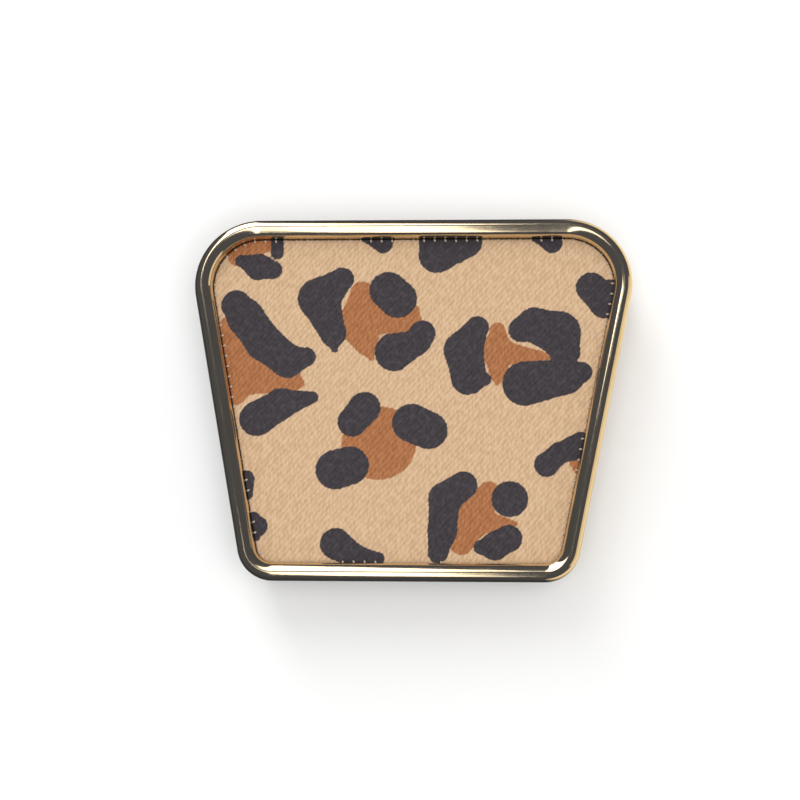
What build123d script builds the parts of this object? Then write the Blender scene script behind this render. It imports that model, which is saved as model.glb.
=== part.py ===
from build123d import *
import math
import os

# A flat, hinged pocket case with a mirror in its lid and a pair of short slant tweezers in its tray.
# It lies closed on its underside: z = 0 is the resting face, +Y is the hinge side, and the wide edge
# of its tapered outline. All lengths are millimetres. "inset" is the distance inwards from the
# outline of the lid's rim, which is the widest thing on the case.

# outline, seen from above
overall_width = 80.0
case_depth = 66.7
side_taper = 11.0
back_corner_radius = 12.0
front_corner_radius = 6.4

# heights
base_top = 9.1
lid_bottom = 9.2
lid_widest = 13.8
lid_top = 15.3

# lid rim section, as insets and heights
rim_land_inset = 1.5
rim_crown_inset = 1.3
rim_flank_inset = 0.5
rim_flank_height = 11.3
rim_wall_inset = 3.2
rim_wall_top = 13.9
lid_ledge_height = 10.95
lid_ledge_inset = 3.95

# lid panel, from the fabric down to the mirror
cover_thickness = 0.5
cover_top = 12.75
cover_inset = 3.28
cover_edge_radius = 0.3
foam_thickness = 0.4
foam_inset = 3.9
board_thickness = 0.5
plate_thickness = 0.4
tape_thickness = 0.15
tape_inset = 7.0
mirror_thickness = 1.0
mirror_inset = 4.65
mirror_front_margin = 9.6
bezel_bottom = 9.4
bezel_inset = 4.1
bezel_window_inset = 6.3
bezel_window_front_margin = 11.2
bezel_corner_radius = 3.0
mirror_play = 0.03

# base rim section
base_widest_inset = 1.35
base_widest_height = 7.8
base_land_inset = 1.6
base_foot_inset = 3.6
base_foot_edge = 0.25
base_inner_inset = 4.1
base_ledge_height = 1.95
base_recess_inset = 5.4

# base panel and pan
base_cover_bottom = 0.35
base_cover_thickness = 0.65
base_panel_play = 0.08
pan_thickness = 0.5
pan_play = 0.05
pan_top = 8.95

# stitching, laid flat on each fabric panel
thread_width = 0.45
thread_height = 0.22
lid_thread_inset = 3.8
base_thread_inset = 6.9

# tray
tray_play = 0.1
tray_top = 8.7
tray_floor = 3.25
tray_edge_radius = 0.5
tray_mouth_radius = 0.6
slot_half_length = 31.6
slot_half_width = 4.6
slot_corner_radius = 2.5
well_radius = 10.0
well_x = -2.0

# magnetic catch
magnet_radius = 2.0
magnet_length = 2.5
keeper_thickness = 0.9
catch_x = 12.0
catch_front_margin = 7.4
pocket_play = 0.05

# hinge
hinge_z = 9.15
hinge_inset = 1.5
barrel_radius = 1.3
barrel_relief = 0.2
knuckle_length = 7.0
knuckle_gap = 0.15
knuckle_count = 5
pin_radius = 0.6
lid_bore_play = 0.05

# thumb scoop at the middle of the front
scoop_radius = 20.0
scoop_depth = 1.1
scoop_reach = 3.0

# tweezers
tweezer_y = 14.0
tweezer_z = 6.4
tail_end_x = -31.3
tail_joint_x = -20.0
blade_thickness = 1.0
tip_x = 31.0
tip_slant = 1.5
blade_side = [(-29.0, 2.35), (-20.0, 3.05), (-3.0, 3.9), (14.0, 3.0), (31.0, 1.6)]
arm_outer = [(-19.9, 1.0), (-9.0, 1.82), (6.0, 2.95), (20.0, 3.02), (31.0, 2.5)]
arm_inner = [(-19.9, 0.1), (-9.0, 0.85), (6.0, 1.95), (20.0, 2.02), (31.0, 1.7)]
blade_edge_radius = 0.2

tan_taper = math.tan(math.radians(side_taper))
cos_taper = math.cos(math.radians(side_taper))
sin_taper = math.sin(math.radians(side_taper))
half_depth = case_depth / 2
# half width of the wide edge before its corners are rounded
back_half = overall_width / 2 + back_corner_radius * ((1 + sin_taper) / cos_taper - 1)
hinge_y = half_depth - hinge_inset
slab = 200.0


def side_x(y, inset):
    return back_half - (half_depth - y) * tan_taper - inset / cos_taper


def outline(inset):
    back = half_depth - inset
    front = inset - half_depth
    corners = [
        (-side_x(back, inset), back),
        (-side_x(front, inset), front),
        (side_x(front, inset), front),
        (side_x(back, inset), back),
    ]
    face = make_face(Polyline(*corners, close=True))
    by_depth = face.vertices().group_by(Axis.Y)
    face = fillet(by_depth[-1], radius=back_corner_radius - inset)
    by_depth = face.vertices().group_by(Axis.Y)
    return fillet(by_depth[0], radius=max(front_corner_radius - inset, 0.8))


def plate(inset, bottom, top):
    return Pos(0, 0, bottom) * extrude(outline(inset), amount=top - bottom)


def ring(outer_inset, inner_inset, bottom, top):
    return plate(outer_inset, bottom, top) - plate(inner_inset, bottom - 1, top + 1)


def trimmed_plate(inset, front_margin, bottom, top):
    # a plate whose front edge stops short, with rounded front corners
    body = plate(inset, bottom, top)
    front = front_margin - half_depth
    body = body & Pos(0, front + slab / 2, 0) * Box(slab, slab, slab)
    corners = body.edges().filter_by(Axis.Z).group_by(Axis.Y)[0]
    return fillet(corners, radius=bezel_corner_radius)


def swept_rim(section):
    # the section is drawn as (inset, height); it stands on the middle of the front edge and is
    # swept round the right half of the outline, then mirrored
    front = -half_depth
    back = half_depth
    points = [(0, front), (side_x(front, 0), front), (side_x(back, 0), back), (0, back)]
    path = FilletPolyline(*points, radius=[front_corner_radius, back_corner_radius])
    start = Plane(origin=(0, front, 0), x_dir=(0, 1, 0), z_dir=(1, 0, 0))
    half = sweep(start * section, path=path)
    return half + mirror(half, about=Plane.YZ)


def x_cylinder(radius, x_from, x_to, y, z):
    middle = (x_from + x_to) / 2
    return Pos(middle, y, z) * Rot(0, 90, 0) * Cylinder(radius, x_to - x_from)


def knuckle_span(index):
    pitch = knuckle_length + knuckle_gap
    start = (index - knuckle_count / 2) * pitch + knuckle_gap / 2
    return start, start + knuckle_length


def with_knuckles(rim, own, bore_radius):
    # own is 0 for the rim that has the even knuckles and 1 for the odd ones
    for index in range(knuckle_count):
        start, end = knuckle_span(index)
        if index % 2 == own:
            rim = rim + x_cylinder(barrel_radius, start, end, hinge_y, hinge_z)
        else:
            relief = barrel_radius + barrel_relief
            rim = rim - x_cylinder(relief, start - knuckle_gap, end + knuckle_gap, hinge_y, hinge_z)
    return rim - x_cylinder(bore_radius, -slab / 2, slab / 2, hinge_y, hinge_z)


def make_lid_rim():
    land = (rim_land_inset, lid_bottom)
    flank = (rim_flank_inset, rim_flank_height)
    widest = (0, lid_widest)
    edges = [
        Line(land, flank),
        TangentArc(widest, flank, tangent=(0, -1)),
        EllipticalCenterArc(
            (rim_crown_inset, lid_widest),
            rim_crown_inset,
            lid_top - lid_widest,
            start_angle=90,
            arc_size=90,
        ),
        EllipticalCenterArc(
            (rim_crown_inset, rim_wall_top),
            rim_wall_inset - rim_crown_inset,
            lid_top - rim_wall_top,
            start_angle=0,
            arc_size=90,
        ),
        Line((rim_wall_inset, rim_wall_top), (rim_wall_inset, lid_ledge_height)),
        Line((rim_wall_inset, lid_ledge_height), (lid_ledge_inset, lid_ledge_height)),
        Line((lid_ledge_inset, lid_ledge_height), (lid_ledge_inset, lid_bottom)),
        Line((lid_ledge_inset, lid_bottom), land),
    ]
    rim = swept_rim(make_face(edges))
    return with_knuckles(rim, 1, pin_radius + lid_bore_play)


def make_base_rim():
    land = (base_land_inset, base_top)
    widest = (base_widest_inset, base_widest_height)
    foot = (base_foot_inset - base_foot_edge, base_foot_edge)
    edges = [
        TangentArc(widest, land, tangent=(0, 1)),
        TangentArc(widest, foot, tangent=(0, -1)),
        Line(foot, (base_foot_inset, 0)),
        Line((base_foot_inset, 0), (base_recess_inset, 0)),
        Line((base_recess_inset, 0), (base_recess_inset, base_ledge_height)),
        Line((base_recess_inset, base_ledge_height), (base_inner_inset, base_ledge_height)),
        Line((base_inner_inset, base_ledge_height), (base_inner_inset, base_top)),
        Line((base_inner_inset, base_top), land),
    ]
    rim = swept_rim(make_face(edges))
    scoop_centre = base_top - scoop_depth + scoop_radius
    scoop = Pos(0, -half_depth, scoop_centre) * Rot(90, 0, 0) * Cylinder(scoop_radius, 2 * scoop_reach)
    rim = rim - scoop
    return with_knuckles(rim, 0, pin_radius)


def make_lid_panel():
    cover_bottom = cover_top - cover_thickness
    foam_bottom = cover_bottom - foam_thickness
    board_bottom = foam_bottom - board_thickness
    plate_bottom = board_bottom - plate_thickness
    cover = plate(cover_inset, cover_bottom, cover_top)
    cover = fillet(cover.faces().sort_by(Axis.Z)[-1].edges(), radius=cover_edge_radius)
    return {
        "lid_cover": cover,
        "lid_padding": plate(foam_inset, foam_bottom, cover_bottom),
        "lid_board": plate(cover_inset, board_bottom, foam_bottom),
        "lid_plate": plate(cover_inset, plate_bottom, board_bottom),
        "lid_stitching": ring(
            lid_thread_inset, lid_thread_inset + thread_width, cover_top, cover_top + thread_height
        ),
    }


def make_mirror():
    plate_bottom = cover_top - cover_thickness - foam_thickness - board_thickness - plate_thickness
    mirror_top = plate_bottom - tape_thickness
    mirror_bottom = mirror_top - mirror_thickness
    glass = trimmed_plate(mirror_inset, mirror_front_margin, mirror_bottom, mirror_top)
    tape = trimmed_plate(tape_inset, mirror_front_margin + 2, mirror_top, plate_bottom)
    bezel = plate(bezel_inset, bezel_bottom, plate_bottom)
    pocket_inset = mirror_inset - mirror_play
    pocket_margin = mirror_front_margin - mirror_play
    bezel = bezel - trimmed_plate(pocket_inset, pocket_margin, mirror_bottom, plate_bottom + 1)
    window_margin = bezel_window_front_margin
    bezel = bezel - trimmed_plate(bezel_window_inset, window_margin, bezel_bottom - 1, plate_bottom)
    keepers = []
    for x in (-catch_x, catch_x):
        place = Pos(x, catch_front_margin - half_depth, bezel_bottom + keeper_thickness / 2)
        bezel = bezel - place * Cylinder(magnet_radius + pocket_play, keeper_thickness)
        keepers.append(place * Cylinder(magnet_radius, keeper_thickness))
    return {
        "lid_mirror": glass,
        "mirror_tape": tape,
        "mirror_bezel": bezel,
        "catch_keepers": Compound(children=keepers),
    }


def make_base_panel():
    cover_top_z = base_cover_bottom + base_cover_thickness
    edge = base_recess_inset + base_panel_play
    cover = plate(edge, base_cover_bottom, cover_top_z)
    cover = fillet(cover.faces().sort_by(Axis.Z)[0].edges(), radius=cover_edge_radius)
    return {
        "base_cover": cover,
        "base_board": plate(edge, cover_top_z, base_ledge_height),
        "base_stitching": ring(
            base_thread_inset,
            base_thread_inset + thread_width,
            base_cover_bottom - thread_height,
            base_cover_bottom,
        ),
    }


def make_base_pan():
    outer = base_inner_inset + pan_play
    pan = plate(outer, base_ledge_height, pan_top)
    return pan - plate(outer + pan_thickness, base_ledge_height + pan_thickness, pan_top + 1)


def make_tray():
    edge = base_inner_inset + pan_play + pan_thickness + tray_play
    tray = plate(edge, base_ledge_height + pan_thickness, tray_top)
    tray = fillet(tray.faces().sort_by(Axis.Z)[-1].edges(), radius=tray_edge_radius)
    cut_height = tray_top - tray_floor + 1
    slot = RectangleRounded(2 * slot_half_length, 2 * slot_half_width, slot_corner_radius)
    hollow = Pos(0, tweezer_y, tray_floor) * extrude(slot, amount=cut_height)
    well = Pos(well_x, tweezer_y, tray_floor) * extrude(Circle(well_radius), amount=cut_height)
    tray = tray - (hollow + well)
    mouth = []
    for edge in tray.edges().group_by(Axis.Z)[-1]:
        middle = edge.center()
        if abs(middle.X) < slot_half_length + 1 and abs(middle.Y - tweezer_y) < well_radius + 1:
            mouth.append(edge)
    tray = fillet(mouth, radius=tray_mouth_radius)
    magnets = []
    for x in (-catch_x, catch_x):
        place = Pos(x, catch_front_margin - half_depth, tray_top - magnet_length / 2)
        tray = tray - place * Cylinder(magnet_radius + pocket_play, magnet_length)
        magnets.append(place * Cylinder(magnet_radius, magnet_length))
    return {"tray": tray, "catch_magnets": Compound(children=magnets)}


def blade_plan():
    lower = [(x, -w) for x, w in blade_side[:-1]] + [(tip_x - tip_slant, -blade_side[-1][1])]
    edges = [
        Spline(*blade_side),
        Line(blade_side[-1], lower[-1]),
        Spline(*lower),
        ThreePointArc(lower[0], (tail_end_x, 0), blade_side[0]),
    ]
    return make_face(edges)


def blade_slab(x_from, x_to, half_height):
    plan = Pos(0, tweezer_y, tweezer_z - half_height) * extrude(blade_plan(), amount=2 * half_height)
    middle = (x_from + x_to) / 2
    return plan & Pos(middle, tweezer_y, tweezer_z) * Box(x_to - x_from, slab, slab)


def make_arm(side):
    # side is 1 for the upper arm and -1 for the lower one
    outer = [(x, side * z) for x, z in arm_outer]
    inner = [(x, side * z) for x, z in arm_inner]
    edges = [
        Spline(*outer),
        Line(outer[-1], inner[-1]),
        Spline(*inner),
        Line(inner[0], outer[0]),
    ]
    upright = Plane(origin=(0, tweezer_y, tweezer_z), x_dir=(1, 0, 0), z_dir=(0, -1, 0))
    profile = extrude(upright * make_face(edges), amount=slab / 2, both=True)
    plan = Pos(0, tweezer_y, tweezer_z - slab / 2) * extrude(blade_plan(), amount=slab)
    return profile & plan


def make_tail():
    tail = blade_slab(tail_end_x - 1, tail_joint_x, blade_thickness)
    ends = tail.faces().filter_by(Axis.Z).edges()
    square = [edge for edge in ends if edge.bounding_box().max.X < tail_joint_x - 0.01]
    return fillet(square, radius=blade_edge_radius)


parts = {
    "lid_rim": make_lid_rim(),
    "base_rim": make_base_rim(),
    "base_pan": make_base_pan(),
    "tweezer_tail": make_tail(),
    "tweezer_upper_arm": make_arm(1),
    "tweezer_lower_arm": make_arm(-1),
}
first_start, _ = knuckle_span(0)
_, last_end = knuckle_span(knuckle_count - 1)
parts["hinge_pin"] = x_cylinder(pin_radius, first_start, last_end, hinge_y, hinge_z)
parts.update(make_lid_panel())
parts.update(make_mirror())
parts.update(make_base_panel())
parts.update(make_tray())

os.makedirs("parts", exist_ok=True)
for name, shape in parts.items():
    export_step(shape, "parts/" + name + ".step")
    print(name, round(shape.volume, 1))
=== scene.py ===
import math
import random

import bpy
from mathutils import Matrix, Vector


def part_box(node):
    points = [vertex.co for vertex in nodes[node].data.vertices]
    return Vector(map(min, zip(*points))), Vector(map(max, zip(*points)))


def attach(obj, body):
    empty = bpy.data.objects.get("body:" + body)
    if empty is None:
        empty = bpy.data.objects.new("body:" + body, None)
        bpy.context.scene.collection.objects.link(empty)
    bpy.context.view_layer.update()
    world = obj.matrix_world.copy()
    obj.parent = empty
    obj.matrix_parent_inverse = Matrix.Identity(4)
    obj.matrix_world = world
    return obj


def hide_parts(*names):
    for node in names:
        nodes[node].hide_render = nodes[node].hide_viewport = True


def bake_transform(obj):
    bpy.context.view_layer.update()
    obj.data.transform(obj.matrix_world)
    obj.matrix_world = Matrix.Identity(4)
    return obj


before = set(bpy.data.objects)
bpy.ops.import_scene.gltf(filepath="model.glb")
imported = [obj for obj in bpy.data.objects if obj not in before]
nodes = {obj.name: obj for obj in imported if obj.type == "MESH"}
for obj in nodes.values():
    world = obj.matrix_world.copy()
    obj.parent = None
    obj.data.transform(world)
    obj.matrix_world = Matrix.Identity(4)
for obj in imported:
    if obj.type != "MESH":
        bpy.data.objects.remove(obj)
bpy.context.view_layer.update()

mm = 0.001
scene = bpy.context.scene

# the tapered outline that the rim, both fabric panels and their stitches follow
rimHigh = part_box("lid_rim")[1]
caseShape = {
    "taper": math.radians(11),
    "backRadius": 12 * mm,
    "frontRadius": 6.4 * mm,
    "halfWidth": rimHigh.x,
    "halfDepth": rimHigh.y,
}


# camera
def addCamera():
    view = {
        "tilt": math.radians(13),  # away from straight down
        "side": math.radians(20.1),  # towards the case's right
        "roll": math.radians(-19.6),
        "distance": 450 * mm,
        "aim": Vector((0, 0, 7 * mm)),
        "slideRight": -2.4 * mm,
        "slideUp": 1.07 * mm,
        "lens": 110.45,
        "sensor": 36,
        "nearest": 10 * mm,
    }
    height = math.cos(view["tilt"])
    out = math.sin(view["tilt"])
    back = Vector((math.sin(view["side"]) * out, -math.cos(view["side"]) * out, height))
    level = Vector((0, 0, 1)).cross(back).normalized()
    rise = back.cross(level)
    right = level * math.cos(view["roll"]) + rise * math.sin(view["roll"])
    up = rise * math.cos(view["roll"]) - level * math.sin(view["roll"])
    place = view["aim"] + right * view["slideRight"] + up * view["slideUp"]
    place += back * view["distance"]
    data = bpy.data.cameras.new("camera")
    data.lens = view["lens"]
    data.sensor_width = view["sensor"]
    data.clip_start = view["nearest"]
    camera = bpy.data.objects.new("camera", data)
    scene.collection.objects.link(camera)
    turn = Matrix((right, up, back)).transposed().to_4x4()
    camera.matrix_world = Matrix.Translation(place) @ turn
    scene.camera = camera
    print("camera placed")


# outline
def sideLine(y, inset):
    shape = caseShape
    taper = shape["taper"]
    corner = shape["backRadius"] * ((1 + math.sin(taper)) / math.cos(taper) - 1)
    backHalf = shape["halfWidth"] + corner
    return backHalf - (shape["halfDepth"] - y) * math.tan(taper) - inset / math.cos(taper)


def cornerCentres():
    # centre and radius of the back and front corners; every inset shares them
    shape = caseShape
    sine, cosine = math.sin(shape["taper"]), math.cos(shape["taper"])
    back, front = shape["halfDepth"], -shape["halfDepth"]
    backX = sideLine(back, 0) - shape["backRadius"] * (1 + sine) / cosine
    frontX = sideLine(front, 0) - shape["frontRadius"] * (1 - sine) / cosine
    backCentre = (backX, back - shape["backRadius"], shape["backRadius"])
    frontCentre = (frontX, front + shape["frontRadius"], shape["frontRadius"])
    return backCentre, frontCentre


def halfWidthAt(y, inset):
    backCentre, frontCentre = cornerCentres()
    sine = math.sin(caseShape["taper"])
    for (x, centreY, radius), isBack in ((backCentre, True), (frontCentre, False)):
        radius -= inset
        tangent = centreY - radius * sine
        if (isBack and y > tangent) or (not isBack and y < tangent):
            return x + math.sqrt(max(radius**2 - (y - centreY) ** 2, 0))
    return sideLine(y, inset)


def edgeDistance(x, y):
    # how far inside the outline a point lies
    x = abs(x)
    sine, cosine = math.sin(caseShape["taper"]), math.cos(caseShape["taper"])
    backCentre, frontCentre = cornerCentres()
    centreX, centreY, radius = backCentre
    if y > centreY - (x - centreX) * sine / cosine and x > centreX:
        return radius - math.hypot(x - centreX, y - centreY)
    centreX, centreY, radius = frontCentre
    if y < centreY - (x - centreX) * sine / cosine and x > centreX:
        return radius - math.hypot(x - centreX, y - centreY)
    return min(caseShape["halfDepth"] - abs(y), (sideLine(y, 0) - x) * cosine)


def outlinePoints(inset, pitch):
    # evenly spaced (place, direction) pairs all round an outline
    backCentre, frontCentre = cornerCentres()
    taper = caseShape["taper"]
    front, back = -caseShape["halfDepth"] + inset, caseShape["halfDepth"] - inset
    trail = [Vector((0, front, 0))]
    steps = 24
    for (x, y, radius), start, end in (
        (frontCentre, -math.pi / 2, -taper),
        (backCentre, -taper, math.pi / 2),
    ):
        for step in range(steps + 1):
            angle = start + (end - start) * step / steps
            reach = radius - inset
            trail.append(Vector((x + reach * math.cos(angle), y + reach * math.sin(angle), 0)))
    trail.append(Vector((0, back, 0)))
    trail += [Vector((-p.x, p.y, 0)) for p in reversed(trail[:-1])]
    length = sum((b - a).length for a, b in zip(trail, trail[1:]))
    count = round(length / pitch)
    places = []
    wanted, walked = 0, 0
    for a, b in zip(trail, trail[1:]):
        run = (b - a).length
        while run > 0 and wanted < walked + run and len(places) < count:
            places.append((a.lerp(b, (wanted - walked) / run), (b - a).normalized()))
            wanted += length / count
        walked += run
    return places


# modelling helpers
def deselectAll():
    bpy.ops.object.select_all(action="DESELECT")


def editStart(piece):
    deselectAll()
    piece.select_set(True)
    bpy.context.view_layer.objects.active = piece
    bpy.ops.object.mode_set(mode="EDIT")


def editEnd():
    bpy.ops.object.mode_set(mode="OBJECT")


def applyModifier(piece, kind, **settings):
    deselectAll()
    piece.select_set(True)
    bpy.context.view_layer.objects.active = piece
    modifier = piece.modifiers.new(kind.lower(), kind)
    for name, value in settings.items():
        setattr(modifier, name, value)
    bpy.ops.object.modifier_apply(modifier=modifier.name)


def smooth(piece, degrees=35):
    deselectAll()
    piece.select_set(True)
    bpy.context.view_layer.objects.active = piece
    bpy.ops.object.shade_smooth_by_angle(angle=math.radians(degrees))


def dress(piece, material):
    piece.data.materials.clear()
    piece.data.materials.append(material)


# material helpers
def newTree(name):
    material = bpy.data.materials.new(name)
    material.use_nodes = True
    tree = material.node_tree
    return material, tree, tree.nodes["Principled BSDF"]


def put(tree, target, value):
    # a socket takes either another socket or a plain value
    if isinstance(value, bpy.types.NodeSocket):
        tree.links.new(value, target)
    else:
        target.default_value = value


def calc(tree, operation, *values):
    node = tree.nodes.new("ShaderNodeMath")
    node.operation = operation
    for socket, value in zip(node.inputs, values):
        put(tree, socket, value)
    return node.outputs[0]


def vectorCalc(tree, operation, *values):
    node = tree.nodes.new("ShaderNodeVectorMath")
    node.operation = operation
    for socket, value in zip(node.inputs, values):
        put(tree, socket, value)
    return node.outputs["Value" if operation in ("DOT_PRODUCT", "LENGTH") else "Vector"]


def spread(tree, value, low, high, newLow=0.0, newHigh=1.0, soft=True):
    node = tree.nodes.new("ShaderNodeMapRange")
    node.interpolation_type = "SMOOTHSTEP" if soft else "LINEAR"
    put(tree, node.inputs["Value"], value)
    for name, number in (("From Min", low), ("From Max", high), ("To Min", newLow), ("To Max", newHigh)):
        put(tree, node.inputs[name], number)
    return node.outputs["Result"]


def blendColour(tree, factor, first, second, kind="MIX"):
    node = tree.nodes.new("ShaderNodeMix")
    node.data_type = "RGBA"
    node.blend_type = kind
    put(tree, node.inputs["Factor"], factor)
    put(tree, node.inputs[6], first)
    put(tree, node.inputs[7], second)
    return node.outputs[2]


def noise(tree, place, scale, detail=3.0, stretch=(1, 1, 1), turn=0.0):
    mapping = tree.nodes.new("ShaderNodeMapping")
    mapping.inputs["Scale"].default_value = stretch
    mapping.inputs["Rotation"].default_value = (0, 0, turn)
    put(tree, mapping.inputs["Vector"], place)
    node = tree.nodes.new("ShaderNodeTexNoise")
    node.inputs["Scale"].default_value = scale
    node.inputs["Detail"].default_value = detail
    tree.links.new(mapping.outputs[0], node.inputs["Vector"])
    return node.outputs["Fac"]


def millimetres(tree, turn=0.0, shift=(0, 0, 0)):
    # the piece's own coordinates, in millimetres
    coordinates = tree.nodes.new("ShaderNodeTexCoord")
    mapping = tree.nodes.new("ShaderNodeMapping")
    mapping.inputs["Scale"].default_value = (1 / mm, 1 / mm, 1 / mm)
    mapping.inputs["Rotation"].default_value = (0, 0, turn)
    mapping.inputs["Location"].default_value = shift
    tree.links.new(coordinates.outputs["Object"], mapping.inputs["Vector"])
    return mapping.outputs[0]


def bump(tree, shader, height, strength, distance):
    node = tree.nodes.new("ShaderNodeBump")
    node.inputs["Strength"].default_value = strength
    node.inputs["Distance"].default_value = distance
    tree.links.new(height, node.inputs["Height"])
    tree.links.new(node.outputs["Normal"], shader.inputs["Normal"])


def newGroup(name, inputs, outputs):
    group = bpy.data.node_groups.new(name, "ShaderNodeTree")
    for socketName, kind in inputs:
        group.interface.new_socket(socketName, in_out="INPUT", socket_type=kind)
    for socketName, kind in outputs:
        group.interface.new_socket(socketName, in_out="OUTPUT", socket_type=kind)
    first = group.nodes.new("NodeGroupInput")
    last = group.nodes.new("NodeGroupOutput")
    return group, first.outputs, last.inputs


def useGroup(tree, group, **values):
    node = tree.nodes.new("ShaderNodeGroup")
    node.node_tree = group
    for name, value in values.items():
        put(tree, node.inputs[name], value)
    return node.outputs


# shared effects
def makeStrokeGroup():
    # distance from a tapered brush stroke, in millimetres, below zero inside it
    number, vector = "NodeSocketFloat", "NodeSocketVector"
    group, given, out = newGroup(
        "printStroke",
        [("point", vector), ("start", vector), ("end", vector), ("startWide", number), ("endWide", number)],
        [("distance", number)],
    )
    fromStart = vectorCalc(group, "SUBTRACT", given["point"], given["start"])
    run = vectorCalc(group, "SUBTRACT", given["end"], given["start"])
    along = calc(group, "DIVIDE", vectorCalc(group, "DOT_PRODUCT", fromStart, run),
                 vectorCalc(group, "DOT_PRODUCT", run, run))
    along = calc(group, "MINIMUM", calc(group, "MAXIMUM", along, 0.0), 1.0)
    scaled = group.nodes.new("ShaderNodeVectorMath")
    scaled.operation = "SCALE"
    group.links.new(run, scaled.inputs[0])
    group.links.new(along, scaled.inputs["Scale"])
    reach = vectorCalc(group, "LENGTH", vectorCalc(group, "SUBTRACT", fromStart, scaled.outputs[0]))
    growth = calc(group, "SUBTRACT", given["endWide"], given["startWide"])
    wide = calc(group, "MULTIPLY_ADD", along, growth, given["startWide"])
    group.links.new(calc(group, "SUBTRACT", reach, wide), out["distance"])
    return group


# leopard spots, as strokes of (x, y, half width) in millimetres from the middle of the panel
darkSpots = {
    "cornerBlot": [(-31.8, 26.1, 1.2), (-28.5, 24.9, 2.5), (-25.8, 24.3, 1.8)],
    "cornerStub": [(-25.1, 27.6, 1.3), (-25.2, 31.3, 1.2)],
    "banana": [
        (-32.5, 17.8, 2.8), (-30.6, 15.3, 3.4), (-27.1, 10.6, 3.4), (-22.6, 7.1, 3.1), (-19.3, 7.8, 1.9),
    ],
    "tearDrop": [(-13.0, 22.5, 2.3), (-17.1, 18.9, 3.9), (-14.4, 12.1, 2.4), (-14.1, 9.3, 0.7)],
    "egg": [(-4.5, 20.4, 3.5), (-2.7, 18.7, 3.6)],
    "twin": [(-3.1, 8.8, 3.7), (1.0, 10.6, 2.4), (1.9, 12.2, 2.5)],
    "topChip": [(-8.9, 30.4, 0.9), (-5.6, 29.2, 1.7), (-5.0, 31.0, 1.9)],
    "topHalf": [(3.9, 29.8, 3.0), (4.4, 27.0, 3.3), (9.6, 29.5, 3.1)],
    "topChipRight": [(22.6, 30.2, 1.0), (25.4, 29.2, 1.8), (26.2, 31.0, 1.8)],
    "rightBean": [(32.6, 20.8, 2.9), (34.9, 17.7, 2.6), (36.2, 20.0, 2.4)],
    "crescent": [(11.9, 13.3, 2.2), (9.5, 9.1, 3.6), (10.5, 4.0, 3.2), (13.3, 3.7, 1.3)],
    "dome": [(19.9, 12.9, 2.4), (22.3, 13.7, 3.3), (26.6, 12.2, 4.1), (27.8, 8.9, 2.9)],
    "sole": [(20.7, 2.9, 4.2), (28.0, 4.2, 3.3), (30.8, 5.0, 2.0)],
    "leaf": [(-28.0, -3.6, 3.3), (-23.6, -0.9, 2.9), (-18.0, 0.3, 1.2)],
    "smallEgg": [(-8.4, -1.6, 3.0), (-10.5, -4.2, 2.8)],
    "wideEgg": [(0.2, -4.4, 3.6), (3.3, -5.8, 3.5)],
    "lowEgg": [(-13.4, -13.0, 3.7), (-10.9, -12.3, 3.6)],
    "leftChip": [(-29.7, -14.8, 1.7), (-29.4, -17.4, 1.2)],
    "leftChipLow": [(-28.4, -22.4, 1.8), (-27.2, -23.4, 1.7), (-27.7, -25.2, 1.0)],
    "tadpole": [(-13.1, -26.5, 2.9), (-9.6, -28.8, 2.2), (-5.4, -29.1, 1.2)],
    "boot": [(9.7, -15.8, 2.6), (6.4, -18.2, 2.9), (6.0, -24.2, 2.6), (5.3, -28.1, 1.9)],
    "dot": [(18.0, -18.3, 3.3), (18.1, -18.3, 3.3)],
    "seed": [(17.9, -25.4, 2.5), (15.3, -26.8, 2.5), (13.0, -27.0, 1.4)],
    "bar": [(24.6, -12.0, 2.3), (26.8, -9.9, 1.9), (30.8, -8.5, 2.6)],
}
rustSpots = {
    "corner": [(-32.3, 27.0, 2.0), (-27.5, 29.8, 2.2)],
    "underBanana": [(-33.8, 14.1, 1.5), (-30.5, 5.0, 4.1), (-22.9, 3.7, 2.8), (-20.4, 2.9, 1.0)],
    "leftEdge": [(-32.0, 1.2, 2.3), (-31.6, 3.0, 2.3)],
    "besideTear": [(-9.2, 19.8, 2.3), (-9.7, 14.1, 3.8), (-8.4, 10.7, 2.3), (-7.3, 7.6, 0.6)],
    "overTwin": [(-7.7, 15.4, 3.1), (-0.5, 14.1, 2.3), (0.6, 16.7, 0.8)],
    "wedge": [(15.6, 12.8, 1.5), (15.6, 8.9, 2.7), (15.8, 4.7, 1.5), (15.6, 2.7, 0.3)],
    "wedgeArm": [(18.4, 8.4, 2.0), (26.3, 7.8, 0.4)],
    "disc": [(-5.7, -8.1, 6.8), (-5.6, -8.1, 6.8)],
    "low": [(14.3, -16.9, 1.9), (11.5, -21.6, 3.3), (9.5, -26.3, 2.2)],
    "lowArm": [(13.3, -22.4, 2.3), (18.9, -22.8, 0.6)],
    "underBar": [(29.6, -11.7, 1.0), (30.3, -13.6, 0.5)],
}


def makePrintGroup():
    stroke = makeStrokeGroup()
    number, vector = "NodeSocketFloat", "NodeSocketVector"
    group, given, out = newGroup("leopardPrint", [("point", vector)], [("dark", number), ("rust", number)])
    flat = vectorCalc(group, "MULTIPLY", given["point"], (1, 1, 0))
    for socketName, spots, melt in (("dark", darkSpots, 0.9), ("rust", rustSpots, 1.5)):
        total = 99.0
        for spot in spots.values():
            for (x, y, wide), (nextX, nextY, nextWide) in zip(spot, spot[1:]):
                part = useGroup(group, stroke, point=flat, start=(x, y, 0), end=(nextX, nextY, 0),
                                startWide=wide, endWide=nextWide)
                total = calc(group, "SMOOTH_MIN", part["distance"], total, melt)
        group.links.new(total, out[socketName])
    return group


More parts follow.
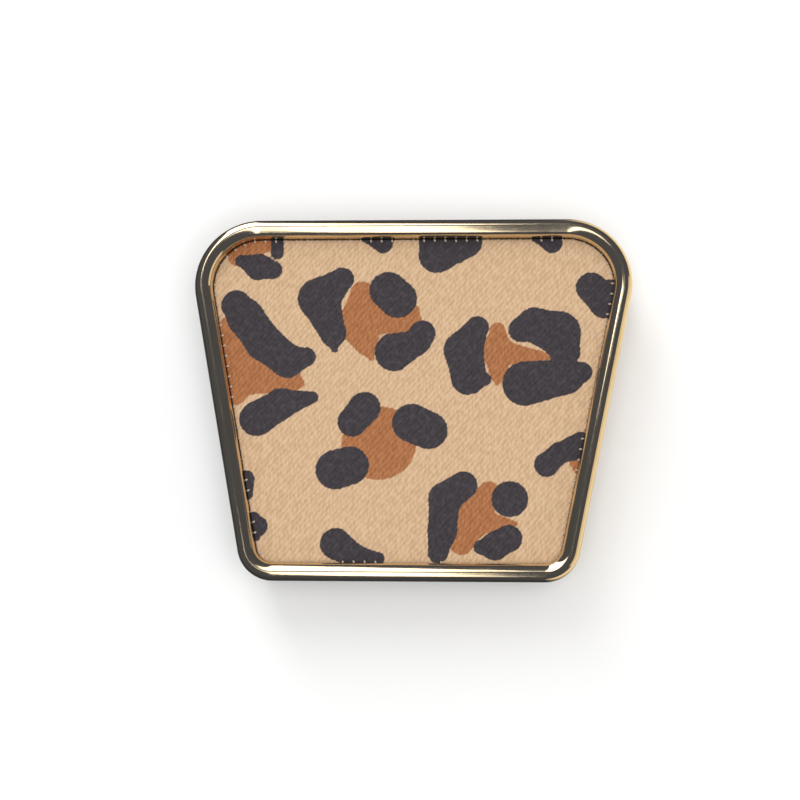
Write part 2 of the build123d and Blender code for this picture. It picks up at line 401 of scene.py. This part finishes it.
def makeTwillGroup():
    # diagonal ribs of short yarn floats: height and a fleck mask
    number, vector = "NodeSocketFloat", "NodeSocketVector"
    group, given, out = newGroup(
        "twill", [("point", vector), ("pitch", number)], [("height", number), ("fleck", number)]
    )
    lean = math.radians(48)
    wander = noise(group, given["point"], 0.5, 2)
    across = vectorCalc(group, "DOT_PRODUCT", given["point"], (-math.sin(lean), math.cos(lean), 0))
    along = vectorCalc(group, "DOT_PRODUCT", given["point"], (math.cos(lean), math.sin(lean), 0))
    across = calc(group, "MULTIPLY_ADD", wander, 0.5, across)
    rib = calc(group, "DIVIDE", across, given["pitch"])
    ribIndex = calc(group, "FLOOR", rib)
    ribPart = calc(group, "SUBTRACT", rib, ribIndex)
    ribRound = calc(group, "SINE", calc(group, "MULTIPLY", ribPart, math.pi))
    step = calc(group, "MULTIPLY_ADD", ribIndex, 0.38, calc(group, "DIVIDE", along, given["pitch"]))
    floatPart = calc(group, "FRACT", calc(group, "MULTIPLY", step, 0.8))
    floatRound = calc(group, "SINE", calc(group, "MULTIPLY", floatPart, math.pi))
    floatRound = calc(group, "POWER", floatRound, 0.4)
    fuzz = noise(group, given["point"], 3.2, 3, (1.6, 0.55, 1), -lean)
    body = calc(group, "MULTIPLY", ribRound, calc(group, "MULTIPLY_ADD", floatRound, 0.45, 0.55))
    height = calc(group, "MULTIPLY_ADD", fuzz, 0.7, body)
    group.links.new(height, out["height"])
    fleck = noise(group, given["point"], 1.7, 4, (1.4, 0.5, 1), -lean)
    group.links.new(spread(group, fleck, 0.36, 0.66), out["fleck"])
    return group


def makeHandledGroup():
    # faint haze and hairlines that any polished piece picks up in a bag
    number, vector = "NodeSocketFloat", "NodeSocketVector"
    group, given, out = newGroup(
        "handled", [("point", vector), ("clean", number), ("hazed", number)],
        [("roughness", number), ("height", number)],
    )
    haze = noise(group, given["point"], 0.12, 4)
    hair = noise(group, given["point"], 1.3, 2, (0.15, 3.0, 3.0), math.radians(24))
    hairs = spread(group, hair, 0.66, 0.72)
    cloud = calc(group, "MULTIPLY_ADD", hairs, 0.35, spread(group, haze, 0.42, 0.75))
    roughness = spread(group, cloud, 0.0, 1.2, given["clean"], given["hazed"], soft=False)
    group.links.new(roughness, out["roughness"])
    group.links.new(hairs, out["height"])
    return group


printGroup = makePrintGroup()
twillGroup = makeTwillGroup()
handledGroup = makeHandledGroup()
print("shared effects built")


# materials
def makePolished(name, colour, shade, clean, hazed):
    material, tree, shader = newTree(name)
    point = millimetres(tree)
    worn = useGroup(tree, handledGroup, point=point, clean=clean, hazed=hazed)
    patina = spread(tree, noise(tree, point, 0.06, 3), 0.3, 0.7)
    tree.links.new(blendColour(tree, patina, colour, shade), shader.inputs["Base Color"])
    shader.inputs["Metallic"].default_value = 1.0
    tree.links.new(worn["roughness"], shader.inputs["Roughness"])
    bump(tree, shader, worn["height"], 0.06, 0.01 * mm)
    return material


def makePrintTwill(name, turn, shift):
    look = {
        # creamDeep and rustDeep are the cream and rust in the weave's painted groove shade, and also the
        # darker yarn flecks
        "cream": (0.65, 0.448, 0.279, 1),
        "creamDeep": (0.47, 0.302, 0.172, 1),
        "rust": (0.42, 0.170, 0.067, 1),
        "rustDeep": (0.26, 0.095, 0.034, 1),
        # darkLight is the dark print with painted light on its raised yarns, and also its random paler
        # patches
        "dark": (0.029, 0.025, 0.029, 1),
        "darkLight": (0.070, 0.059, 0.068, 1),
        "pitch": 0.77,
    }
    material, tree, shader = newTree(name)
    point = millimetres(tree, turn, shift)
    wobble = noise(tree, point, 1.4, 2)
    weave = useGroup(tree, twillGroup, point=point, pitch=look["pitch"])
    spots = useGroup(tree, printGroup, point=point)
    ragged = calc(tree, "MULTIPLY_ADD", wobble, 0.36, -0.18)
    ragged = calc(tree, "MULTIPLY_ADD", weave["height"], 0.06, ragged)
    darkMask = spread(tree, calc(tree, "ADD", spots["dark"], ragged), 0.12, -0.12)
    rustMask = spread(tree, calc(tree, "ADD", spots["rust"], ragged), 0.16, -0.16)
    # painted shade: the weave's low grooves go towards the Deep colours and its raised yarns towards the
    # full colours; the yarns' random flecks mix in too
    low = spread(tree, weave["height"], 0.15, 1.25)
    tone = calc(tree, "MULTIPLY_ADD", low, 0.45, calc(tree, "MULTIPLY", weave["fleck"], 0.6))
    cream = blendColour(tree, tone, look["creamDeep"], look["cream"])
    rust = blendColour(tree, tone, look["rustDeep"], look["rust"])
    # the dark print: random paler patches and yarn flecks, plus the weave's painted light and shade, raised
    # yarns towards darkLight and grooves towards dark
    worn = spread(tree, noise(tree, point, 1.1, 3), 0.42, 0.74)
    worn = calc(tree, "MULTIPLY_ADD", worn, 0.5, calc(tree, "MULTIPLY", tone, 0.4))
    dark = blendColour(tree, worn, look["dark"], look["darkLight"])
    colour = blendColour(tree, rustMask, cream, rust)
    colour = blendColour(tree, darkMask, colour, dark)
    tree.links.new(colour, shader.inputs["Base Color"])
    shader.inputs["Roughness"].default_value = 0.92
    shader.inputs["Specular IOR Level"].default_value = 0.25
    shader.inputs["Sheen Weight"].default_value = 0.12
    shader.inputs["Sheen Roughness"].default_value = 0.6
    bump(tree, shader, weave["height"], 0.7, 0.1 * mm)
    return material


def makeThread(name, colour, shade):
    material, tree, shader = newTree(name)
    point = millimetres(tree)
    ply = tree.nodes.new("ShaderNodeTexWave")
    ply.inputs["Scale"].default_value = 2.2
    ply.inputs["Distortion"].default_value = 1.0
    ply.bands_direction = "DIAGONAL"
    tree.links.new(point, ply.inputs["Vector"])
    # painted shade: the same wave that bumps the ply darkens its low grooves towards the shade colour
    tree.links.new(blendColour(tree, ply.outputs["Fac"], shade, colour), shader.inputs["Base Color"])
    shader.inputs["Roughness"].default_value = 0.7
    bump(tree, shader, ply.outputs["Fac"], 0.4, 0.05 * mm)
    return material


def makeFlock(name):
    material, tree, shader = newTree(name)
    point = millimetres(tree)
    nap = noise(tree, point, 0.16, 4)
    pile = noise(tree, point, 9.0, 2)
    shade = spread(tree, calc(tree, "MULTIPLY_ADD", pile, 0.6, calc(tree, "MULTIPLY", nap, 0.8)), 0.4, 1.0)
    colour = blendColour(tree, shade, (0.006, 0.005, 0.005, 1), (0.026, 0.021, 0.019, 1))
    tree.links.new(colour, shader.inputs["Base Color"])
    shader.inputs["Roughness"].default_value = 1.0
    shader.inputs["Specular IOR Level"].default_value = 0.1
    shader.inputs["Sheen Weight"].default_value = 0.35
    shader.inputs["Sheen Roughness"].default_value = 0.35
    shader.inputs["Sheen Tint"].default_value = (0.55, 0.48, 0.42, 1)
    bump(tree, shader, pile, 0.6, 0.12 * mm)
    return material


def makeMirror(name):
    material, tree, shader = newTree(name)
    point = millimetres(tree)
    smear = spread(tree, noise(tree, point, 0.08, 5, (1, 2.2, 1), 0.6), 0.5, 0.8, 0.004, 0.05)
    shader.inputs["Base Color"].default_value = (0.9, 0.915, 0.92, 1)
    shader.inputs["Metallic"].default_value = 1.0
    tree.links.new(smear, shader.inputs["Roughness"])
    return material


def makeBrushed(name, colour, shade, stretch):
    material, tree, shader = newTree(name)
    point = millimetres(tree)
    grain = noise(tree, point, 6.0, 3, stretch)
    worn = useGroup(tree, handledGroup, point=point, clean=0.2, hazed=0.36)
    tree.links.new(blendColour(tree, grain, shade, colour), shader.inputs["Base Color"])
    shader.inputs["Metallic"].default_value = 1.0
    tree.links.new(calc(tree, "MULTIPLY_ADD", grain, 0.12, worn["roughness"]), shader.inputs["Roughness"])
    bump(tree, shader, grain, 0.15, 0.02 * mm)
    return material


def makeMoulded(name, colour, shade, rough, grainScale, depth):
    material, tree, shader = newTree(name)
    point = millimetres(tree)
    grain = noise(tree, point, grainScale, 3)
    tree.links.new(blendColour(tree, grain, shade, colour), shader.inputs["Base Color"])
    tree.links.new(spread(tree, grain, 0.3, 0.7, rough, rough + 0.12), shader.inputs["Roughness"])
    bump(tree, shader, grain, 0.3, depth)
    return material


gilt = makePolished("giltMetal", (0.82, 0.67, 0.44, 1), (0.74, 0.59, 0.37, 1), 0.08, 0.14)
giltSatin = makePolished("giltSatin", (0.79, 0.65, 0.43, 1), (0.71, 0.57, 0.36, 1), 0.22, 0.34)
nickel = makePolished("brightNickel", (0.78, 0.77, 0.75, 1), (0.70, 0.69, 0.67, 1), 0.12, 0.25)
lidTwill = makePrintTwill("printTwill", 0.0, (0, 0, 0))
baseTwill = makePrintTwill("printTwillUnder", math.pi, (3, -4, 0))
threadFinish = makeThread("thread", (0.60, 0.49, 0.39, 1), (0.48, 0.38, 0.30, 1))
flock = makeFlock("blackFlock")
mirrorFinish = makeMirror("silveredGlass")
steel = makeBrushed("brushedSteel", (0.66, 0.66, 0.67, 1), (0.46, 0.46, 0.47, 1), (0.05, 1, 1))
bezelFinish = makeMoulded(
    "glossBezel", (0.018, 0.016, 0.016, 1), (0.010, 0.009, 0.009, 1), 0.12, 0.8, 0.01 * mm
)
card = makeMoulded("greyCard", (0.30, 0.27, 0.23, 1), (0.22, 0.20, 0.17, 1), 0.8, 2.5, 0.05 * mm)
foam = makeMoulded("darkFoam", (0.06, 0.06, 0.06, 1), (0.03, 0.03, 0.03, 1), 0.85, 3.0, 0.1 * mm)

for nodeName, finish in {
    "base_rim": gilt, "base_pan": giltSatin, "lid_plate": giltSatin,
    "hinge_pin": nickel, "catch_keepers": nickel, "catch_magnets": nickel,
    "tray": flock, "lid_mirror": mirrorFinish, "mirror_bezel": bezelFinish,
    "mirror_tape": foam, "lid_padding": foam, "lid_board": card, "base_board": card,
}.items():
    dress(nodes[nodeName], finish)
print("materials built")


# lid rim
rim = {
    # the section as (inset, height) in millimetres
    "land": (1.5, 9.2),
    "flankTop": 11.3,
    "flankRadius": 6.5,
    "widest": 13.8,
    "crown": (1.3, 15.3),
    "wall": (3.2, 13.9),
    "ledge": (3.95, 10.95),
    "soft": 0.08,
    "arcSteps": 14,
    "flankSteps": 5,
    # steps round the right half, from the middle of the front to the middle of the back
    "frontSteps": 14,
    "frontCornerSteps": 26,
    "sideSteps": 30,
    "backCornerSteps": 44,
    "backSteps": 18,
}
hinge = {
    "inset": 1.5 * mm,
    "height": 9.15 * mm,
    "barrel": 1.3 * mm,
    "relief": 1.5 * mm,
    "bore": 0.65 * mm,
    "knuckle": 7 * mm,
    "gap": 0.15 * mm,
    "count": 5,
}


def rimSection():
    steps = rim["arcSteps"]
    (crownIn, crownTop), (wallIn, wallTop), (ledgeIn, ledgeTop) = rim["crown"], rim["wall"], rim["ledge"]
    landIn, bottom = rim["land"]
    soft = rim["soft"]
    points = [(landIn + soft, bottom), (landIn - soft * 0.4, bottom + soft)]
    flankTop = rim["flankTop"]
    for step in range(rim["flankSteps"]):
        drop = (rim["widest"] - flankTop) * (1 - step / rim["flankSteps"])
        inset = rim["flankRadius"] - math.sqrt(rim["flankRadius"] ** 2 - drop**2)
        points.append((inset, rim["widest"] - drop))
    for step in range(steps + 1):
        angle = math.pi / 2 * step / steps
        height = (crownTop - rim["widest"]) * math.sin(angle)
        points.append((crownIn * (1 - math.cos(angle)), rim["widest"] + height))
    for step in range(1, steps + 1):
        angle = math.pi / 2 * step / steps
        height = (crownTop - wallTop) * math.cos(angle)
        points.append((crownIn + (wallIn - crownIn) * math.sin(angle), wallTop + height))
    points += [(wallIn, ledgeTop), (ledgeIn - soft, ledgeTop), (ledgeIn, ledgeTop - soft)]
    points += [(ledgeIn, bottom + soft), (ledgeIn - soft, bottom)]
    return points


def hingeBar(radius, start, end):
    deselectAll()
    bpy.ops.mesh.primitive_cylinder_add(
        vertices=64, radius=radius, depth=end - start,
        location=((start + end) / 2, caseShape["halfDepth"] - hinge["inset"], hinge["height"]),
        rotation=(0, math.pi / 2, 0),
    )
    return bpy.context.object


def joinOrCut(piece, tool, operation):
    applyModifier(piece, "BOOLEAN", operation=operation, object=tool, solver="EXACT")
    bpy.data.objects.remove(tool)


def addKnuckles(piece, own):
    # own is 0 for the piece with the even knuckles and 1 for the odd ones
    pitch = hinge["knuckle"] + hinge["gap"]
    gap = hinge["gap"]
    for index in range(hinge["count"]):
        start = (index - hinge["count"] / 2) * pitch + gap / 2
        end = start + hinge["knuckle"]
        if index % 2 == own:
            joinOrCut(piece, hingeBar(hinge["barrel"], start, end), "UNION")
        else:
            joinOrCut(piece, hingeBar(hinge["relief"], start - gap, end + gap), "DIFFERENCE")
    joinOrCut(piece, hingeBar(hinge["bore"], -caseShape["halfWidth"], caseShape["halfWidth"]), "DIFFERENCE")


def extrudeBy(move, steps):
    for _ in range(steps):
        bpy.ops.mesh.extrude_region_move(TRANSFORM_OT_translate={"value": Vector(move) / steps})


def spinBy(angle, x, y, steps):
    # a positive angle turns from +X towards +Y
    bpy.ops.mesh.spin(steps=steps, angle=-angle, center=(x, y, 0), axis=(0, 0, 1))


def mergeDoubles():
    bpy.ops.mesh.select_all(action="SELECT")
    bpy.ops.mesh.remove_doubles(threshold=0.001 * mm)


def makeRim():
    section = rimSection()
    (backX, backY, backRadius), (frontX, frontY, frontRadius) = cornerCentres()
    taper = caseShape["taper"]
    deselectAll()
    bpy.ops.mesh.primitive_circle_add(vertices=len(section), radius=0.01)
    piece = bpy.context.object
    piece.name = "lidRim"
    for vertex, (inset, height) in zip(piece.data.vertices, section):
        vertex.co = (0, -caseShape["halfDepth"] + inset * mm, height * mm)
    editStart(piece)
    bpy.ops.mesh.select_all(action="SELECT")
    extrudeBy((frontX, 0, 0), rim["frontSteps"])
    spinBy(math.pi / 2 - taper, frontX, frontY, rim["frontCornerSteps"])
    outwards = Vector((math.cos(taper), -math.sin(taper), 0))
    run = Vector((backX - frontX, backY - frontY, 0)) + outwards * (backRadius - frontRadius)
    extrudeBy(run, rim["sideSteps"])
    spinBy(math.pi / 2 + taper, backX, backY, rim["backCornerSteps"])
    extrudeBy((-backX, 0, 0), rim["backSteps"])
    mergeDoubles()
    editEnd()
    applyModifier(piece, "MIRROR", merge_threshold=0.01 * mm)
    editStart(piece)
    mergeDoubles()
    bpy.ops.mesh.normals_make_consistent(inside=False)
    editEnd()
    addKnuckles(piece, 1)
    smooth(piece, 32)
    dress(piece, gilt)
    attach(piece, "lid")
    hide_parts("lid_rim")
    reach = max(v.co.x for v in piece.data.vertices) / mm
    print("lidRim made:", len(piece.data.polygons), "faces, half width", round(reach, 2))


makeRim()


# fabric panels
def makePanel(name, node, body, finish, facing):
    low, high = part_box(node)
    size = {
        "columns": 150,
        "rows": 126,
        "roll": 0.32 * mm,  # the fabric turns down over the padding's edge
        "crown": 0.25 * mm,  # the padding lifts the middle
        "crownReach": 4 * mm,
        "inset": caseShape["halfDepth"] - high.y,
    }
    deselectAll()
    bpy.ops.mesh.primitive_grid_add(x_subdivisions=size["columns"], y_subdivisions=size["rows"], size=2)
    panel = bpy.context.object
    panel.name = name
    reach = caseShape["halfDepth"] - size["inset"]
    for vertex in panel.data.vertices:
        across, along = (math.sin(c * math.pi / 2) for c in vertex.co.xy)
        y = along * reach
        x = across * halfWidthAt(y, size["inset"])
        inside = max(edgeDistance(x, y) - size["inset"], 0)
        roll = size["roll"]
        rise = math.sqrt(roll**2 - (roll - min(inside, roll)) ** 2) - roll
        rise += size["crown"] * (1 - math.exp(-inside / size["crownReach"])) - size["crown"] * 0.6
        top = high.z if facing > 0 else low.z
        vertex.co = (x, y, top + facing * rise)
    editStart(panel)
    bpy.ops.mesh.select_all(action="DESELECT")
    bpy.ops.mesh.select_mode(type="EDGE")
    bpy.ops.mesh.select_non_manifold()
    drop = -facing * (high.z - low.z - size["roll"])
    bpy.ops.mesh.extrude_region_move(TRANSFORM_OT_translate={"value": (0, 0, drop)})
    bpy.ops.mesh.edge_face_add()
    bpy.ops.mesh.select_all(action="SELECT")
    bpy.ops.mesh.normals_make_consistent(inside=False)
    editEnd()
    smooth(panel, 50)
    dress(panel, finish)
    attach(panel, body)
    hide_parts(node)
    return panel


def makeStitches(name, node, body, panelNode, facing):
    look = {"pitch": 1.95 * mm, "length": 0.62 * mm, "width": 0.19 * mm, "height": 0.16 * mm, "seed": 7}
    draw = random.Random(look["seed"])
    low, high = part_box(panelNode)
    face = high.z if facing > 0 else low.z
    inset = caseShape["halfDepth"] - high.y + 0.26 * mm
    made = []
    for place, direction in outlinePoints(inset, look["pitch"]):
        outward = Vector((direction.y, -direction.x, 0))
        lean = math.atan2(outward.y, outward.x) + math.radians(draw.uniform(6, 22))
        spot = place + outward * draw.uniform(-0.05, 0.05) * mm
        deselectAll()
        bpy.ops.mesh.primitive_uv_sphere_add(
            segments=8, ring_count=6, radius=1,
            location=(spot.x, spot.y, face - facing * 0.06 * mm),
            rotation=(0, facing * math.radians(9), lean),
            scale=(look["length"] / 2, look["width"], look["height"]),
        )
        made.append(bpy.context.object)
    deselectAll()
    for stitch in made:
        stitch.select_set(True)
    bpy.context.view_layer.objects.active = made[0]
    bpy.ops.object.join()
    stitches = bpy.context.object
    bpy.ops.object.transform_apply(location=True, rotation=True, scale=True)
    stitches.name = name
    bpy.ops.object.shade_smooth()
    dress(stitches, threadFinish)
    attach(stitches, body)
    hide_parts(node)
    print(name, "made:", len(made), "stitches")


lidCover = makePanel("lidCover", "lid_cover", "lid", lidTwill, 1)
baseCover = makePanel("baseCover", "base_cover", "base", baseTwill, -1)
makeStitches("lidStitches", "lid_stitching", "lid", "lid_cover", 1)
makeStitches("baseStitches", "base_stitching", "base", "base_cover", -1)


# tweezers
tailLow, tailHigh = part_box("tweezer_tail")
armLow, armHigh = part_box("tweezer_upper_arm")
blade = {
    "tail": tailLow.x,
    "tip": armHigh.x,
    "slant": 1.5 * mm,
    "axis": (armLow.y + armHigh.y) / 2,
    "middle": (tailLow.z + tailHigh.z) / 2,
    "thickness": 0.93 * mm,
    "columns": 124,
    "rows": 14,
    # half width and height of the outer face above the middle, from the tail to the tip
    "widths": [
        (-31.3, 0.9), (-31.0, 1.4), (-30.2, 1.95), (-29.0, 2.35),
        (-20.0, 3.05), (-3.0, 3.88), (14.0, 3.0), (31.0, 1.6),
    ],
    "heights": [(-31.3, 0.98), (-20.0, 0.98), (-9.0, 1.82), (6.0, 2.93), (20.0, 3.0), (31.0, 2.48)],
    "dimples": [(-27.0, 0.0), (-23.6, 0.0)],
    "dimpleRadius": 0.9 * mm,
    "dimpleDepth": 0.16 * mm,
    "camber": 0.12 * mm,  # the outer face falls away towards both edges
    "bendReach": 2.4 * mm,
    "edge": 0.14 * mm,
    "bendStart": 2 * mm,  # on the tail's side of the arm's root
    "bendEnd": 8 * mm,
}


def valueAt(table, x):
    # a smooth run through the given (x, value) pairs, in millimetres
    x /= mm
    for (x0, v0), (x1, v1) in zip(table, table[1:]):
        if x <= x1:
            part = max((x - x0) / (x1 - x0), 0)
            return (v0 + (v1 - v0) * part) * mm
    return table[-1][1] * mm


def easedAt(table, x):
    # the same run with its bends rounded off, away from both ends
    reach = blade["bendReach"]
    margin = reach * 0.6
    if not blade["tail"] + margin < x < blade["tip"] - margin:
        return valueAt(table, x)
    tests = [x + reach * step / 3 for step in range(-3, 4)]
    return sum(valueAt(table, test) for test in tests) / len(tests)


def makeBlade(name, side, arm):
    deselectAll()
    bpy.ops.mesh.primitive_grid_add(x_subdivisions=blade["columns"], y_subdivisions=blade["rows"], size=2)
    piece = bpy.context.object
    piece.name = name
    for vertex in piece.data.vertices:
        across = vertex.co.y
        tip = blade["tip"] - blade["slant"] * (1 - across) / 2
        x = blade["tail"] + (tip - blade["tail"]) * (vertex.co.x + 1) / 2
        y = across * valueAt(blade["widths"], x)
        z = easedAt(blade["heights"], x) - blade["camber"] * across**2
        for dimpleX, dimpleY in blade["dimples"]:
            apart = math.hypot(x - dimpleX * mm, y - dimpleY * mm) / blade["dimpleRadius"]
            z -= blade["dimpleDepth"] * max(1 - apart**2, 0)
        vertex.co = (x, blade["axis"] + y, blade["middle"] + side * z)
    editStart(piece)
    bpy.ops.mesh.select_all(action="SELECT")
    if side < 0:
        bpy.ops.mesh.flip_normals()
    editEnd()
    applyModifier(piece, "SOLIDIFY", thickness=blade["thickness"], offset=-1)
    applyModifier(
        piece, "BEVEL", width=blade["edge"], segments=2, limit_method="ANGLE", angle_limit=math.radians(50)
    )
    smooth(piece, 40)
    dress(piece, steel)
    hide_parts(arm, "tweezer_tail")
    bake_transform(piece)
    print(name, "made")


makeBlade("upperBlade", 1, "tweezer_upper_arm")
makeBlade("lowerBlade", -1, "tweezer_lower_arm")


# floor, light and world
def addFloor():
    # glossy rays see the floor as painted shade, a darker room colour, except for one painted bright strip
    # (the card range below) that the polished pieces show as a painted reflection; other rays see the pale
    # floor
    card = {"start": 0.024, "end": 0.044}
    deselectAll()
    bpy.ops.mesh.primitive_plane_add(size=4, location=(0, 0, -0.02 * mm))
    floor = bpy.context.object
    floor.name = "floor"
    material, tree, shader = newTree("paleFloor")
    point = millimetres(tree)
    tone = blendColour(tree, noise(tree, point, 0.01, 2), (0.88, 0.88, 0.88, 1), (0.92, 0.92, 0.92, 1))
    apart = tree.nodes.new("ShaderNodeSeparateXYZ")
    tree.links.new(point, apart.inputs[0])
    # the painted bright strip across x and the painted dark room shade, both seen only by glossy rays
    onPaintedStrip = spread(tree, apart.outputs["X"], card["start"] / mm, card["end"] / mm)
    mirrored = blendColour(tree, onPaintedStrip, (0.045, 0.052, 0.072, 1), (0.92, 0.82, 0.62, 1))
    rays = tree.nodes.new("ShaderNodeLightPath")
    colour = blendColour(tree, rays.outputs["Is Glossy Ray"], tone, mirrored)
    tree.links.new(colour, shader.inputs["Base Color"])
    shader.inputs["Roughness"].default_value = 0.9
    shader.inputs["Specular IOR Level"].default_value = 0.1
    dress(floor, material)


def addSoftbox(name, place, width, height, power, mirrored=True, facing=None, tint=(1, 1, 1)):
    data = bpy.data.lights.new(name, "AREA")
    data.shape = "RECTANGLE"
    data.size = width
    data.size_y = height
    data.energy = power
    data.color = tint
    box = bpy.data.objects.new(name, data)
    scene.collection.objects.link(box)
    box.location = place
    aim = -Vector(place) if facing is None else Vector(facing)
    box.rotation_euler = aim.to_track_quat("-Z", "Y").to_euler()
    box.visible_glossy = mirrored


def addWorld():
    world = bpy.data.worlds.new("studio")
    scene.world = world
    world.use_nodes = True
    tree = world.node_tree
    background = tree.nodes["Background"]
    rays = tree.nodes.new("ShaderNodeLightPath")
    room, ambient = (0.081, 0.092, 0.129, 1), (0.5, 0.5, 0.5, 1)
    colour = blendColour(tree, rays.outputs["Is Glossy Ray"], ambient, room)
    tree.links.new(colour, background.inputs["Color"])


addCamera()
addFloor()
addSoftbox("backBox", (-0.2, 0.485, 0.36), 0.25, 0.87, 2.05)
addSoftbox("frontStrip", (-0.21, -1.24, 2.0), 0.23, 3.02, 5.5, facing=(0, 0, -1))
addSoftbox("backStrip", (-0.21, 0.735, 2.0), 0.23, 0.27, 0.49, facing=(0, 0, -1))
addSoftbox("sideCard", (0.9, -0.1, 0.25), 0.9, 0.5, 1.1, tint=(1, 0.88, 0.66))
addSoftbox("topFill", (0.25, -0.35, 1.2), 0.8, 0.8, 7.3, mirrored=False)
addWorld()
scene.view_settings.view_transform = "Standard"
scene.view_settings.look = "None"
print("stage set")
